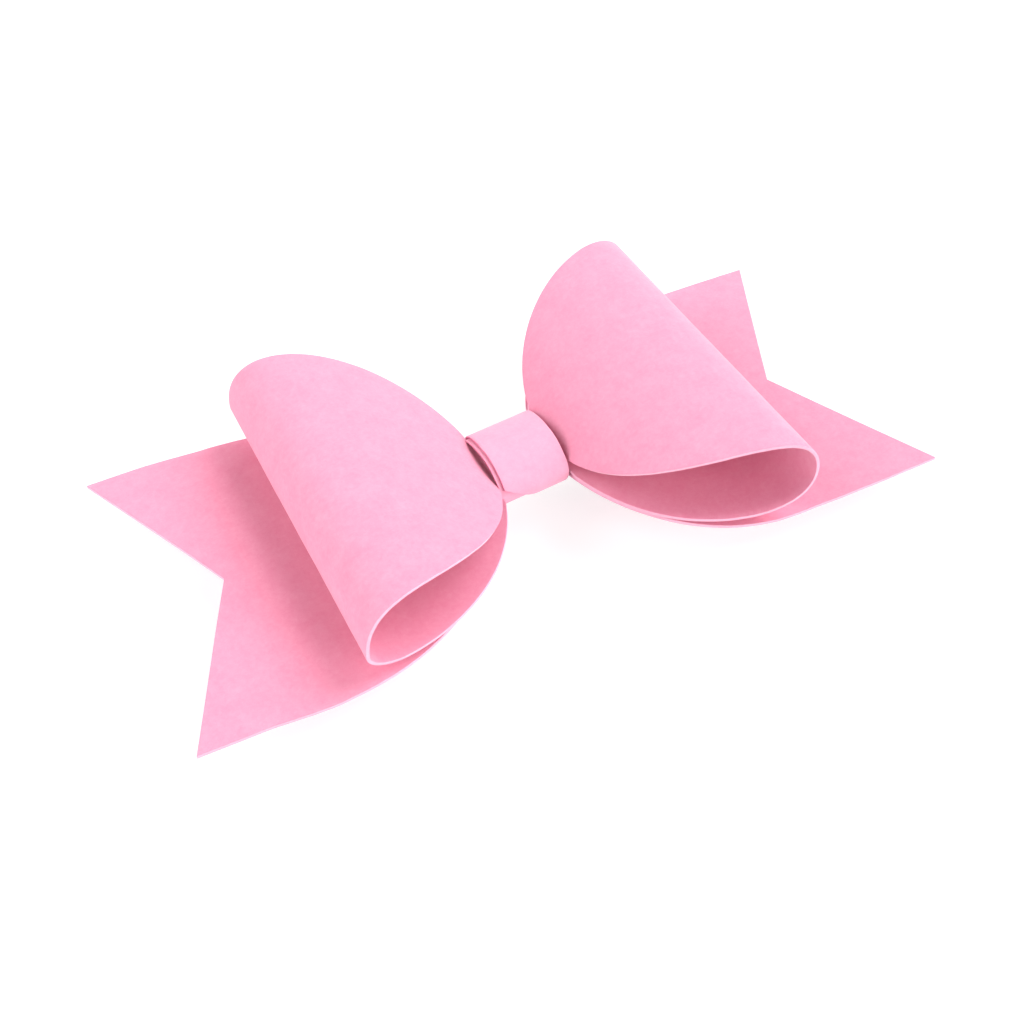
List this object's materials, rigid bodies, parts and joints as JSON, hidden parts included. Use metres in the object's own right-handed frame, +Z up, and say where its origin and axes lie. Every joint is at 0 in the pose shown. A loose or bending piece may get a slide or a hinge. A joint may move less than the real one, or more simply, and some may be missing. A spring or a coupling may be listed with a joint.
{
  "type": "bow barrette",
  "caption": "Hair bow on a sprung clip: stiff fabric loops over swallow tails, tied by a wrapped centre band round an arched plate with a hinged clasp arm and catch.",
  "frame": {"origin": "bottom centre of the object's box: on the surface that the closed clip stands on, midway between the tail ends", "axes": "+X along the bow towards the taller loop and the catch, +Y towards the back edge, +Z up through the bow"},
  "size_m": [0.13, 0.062, 0.0238],
  "materials": {
    "bow_fabric": "matte, fine short nap",
    "wrap_fabric": "matte, fine short nap",
    "clip_steel": "bright nickel-plated stamped steel",
    "spring_steel": "satin spring steel"
  },
  "bodies": {
    "bow_and_plate": {"tail_strip": "bow_fabric", "loop_strip": "bow_fabric", "centre_wrap": "wrap_fabric", "base_plate": "clip_steel", "hinge_pin": "clip_steel", "tension_spring": "spring_steel", "catch_bracket": "clip_steel", "catch_rivet": "clip_steel"},
    "clasp": {"clasp_arm": "clip_steel"},
    "front_jaw": {"catch_jaw_front": "spring_steel"},
    "back_jaw": {"catch_jaw_back": "spring_steel"}
  },
  "joints": [
    {"name": "clasp_hinge", "type": "hinge", "parent": "bow_and_plate", "child": "clasp", "pos_m": [-0.028, 0, 0.0016], "axis": [0, 1, 0], "range_deg": [0, 55]},
    {"name": "front_jaw_squeeze", "type": "hinge", "parent": "bow_and_plate", "child": "front_jaw", "pos_m": [0.025, -0.00125, 0.00265], "axis": [1, 0, 0], "range_deg": [0, 6], "stiffness_Nm_per_rad": 0.02},
    {"name": "back_jaw_squeeze", "type": "hinge", "parent": "bow_and_plate", "child": "back_jaw", "pos_m": [0.025, 0.00125, 0.00265], "axis": [-1, 0, 0], "range_deg": [0, 6], "stiffness_Nm_per_rad": 0.02}
  ]
}
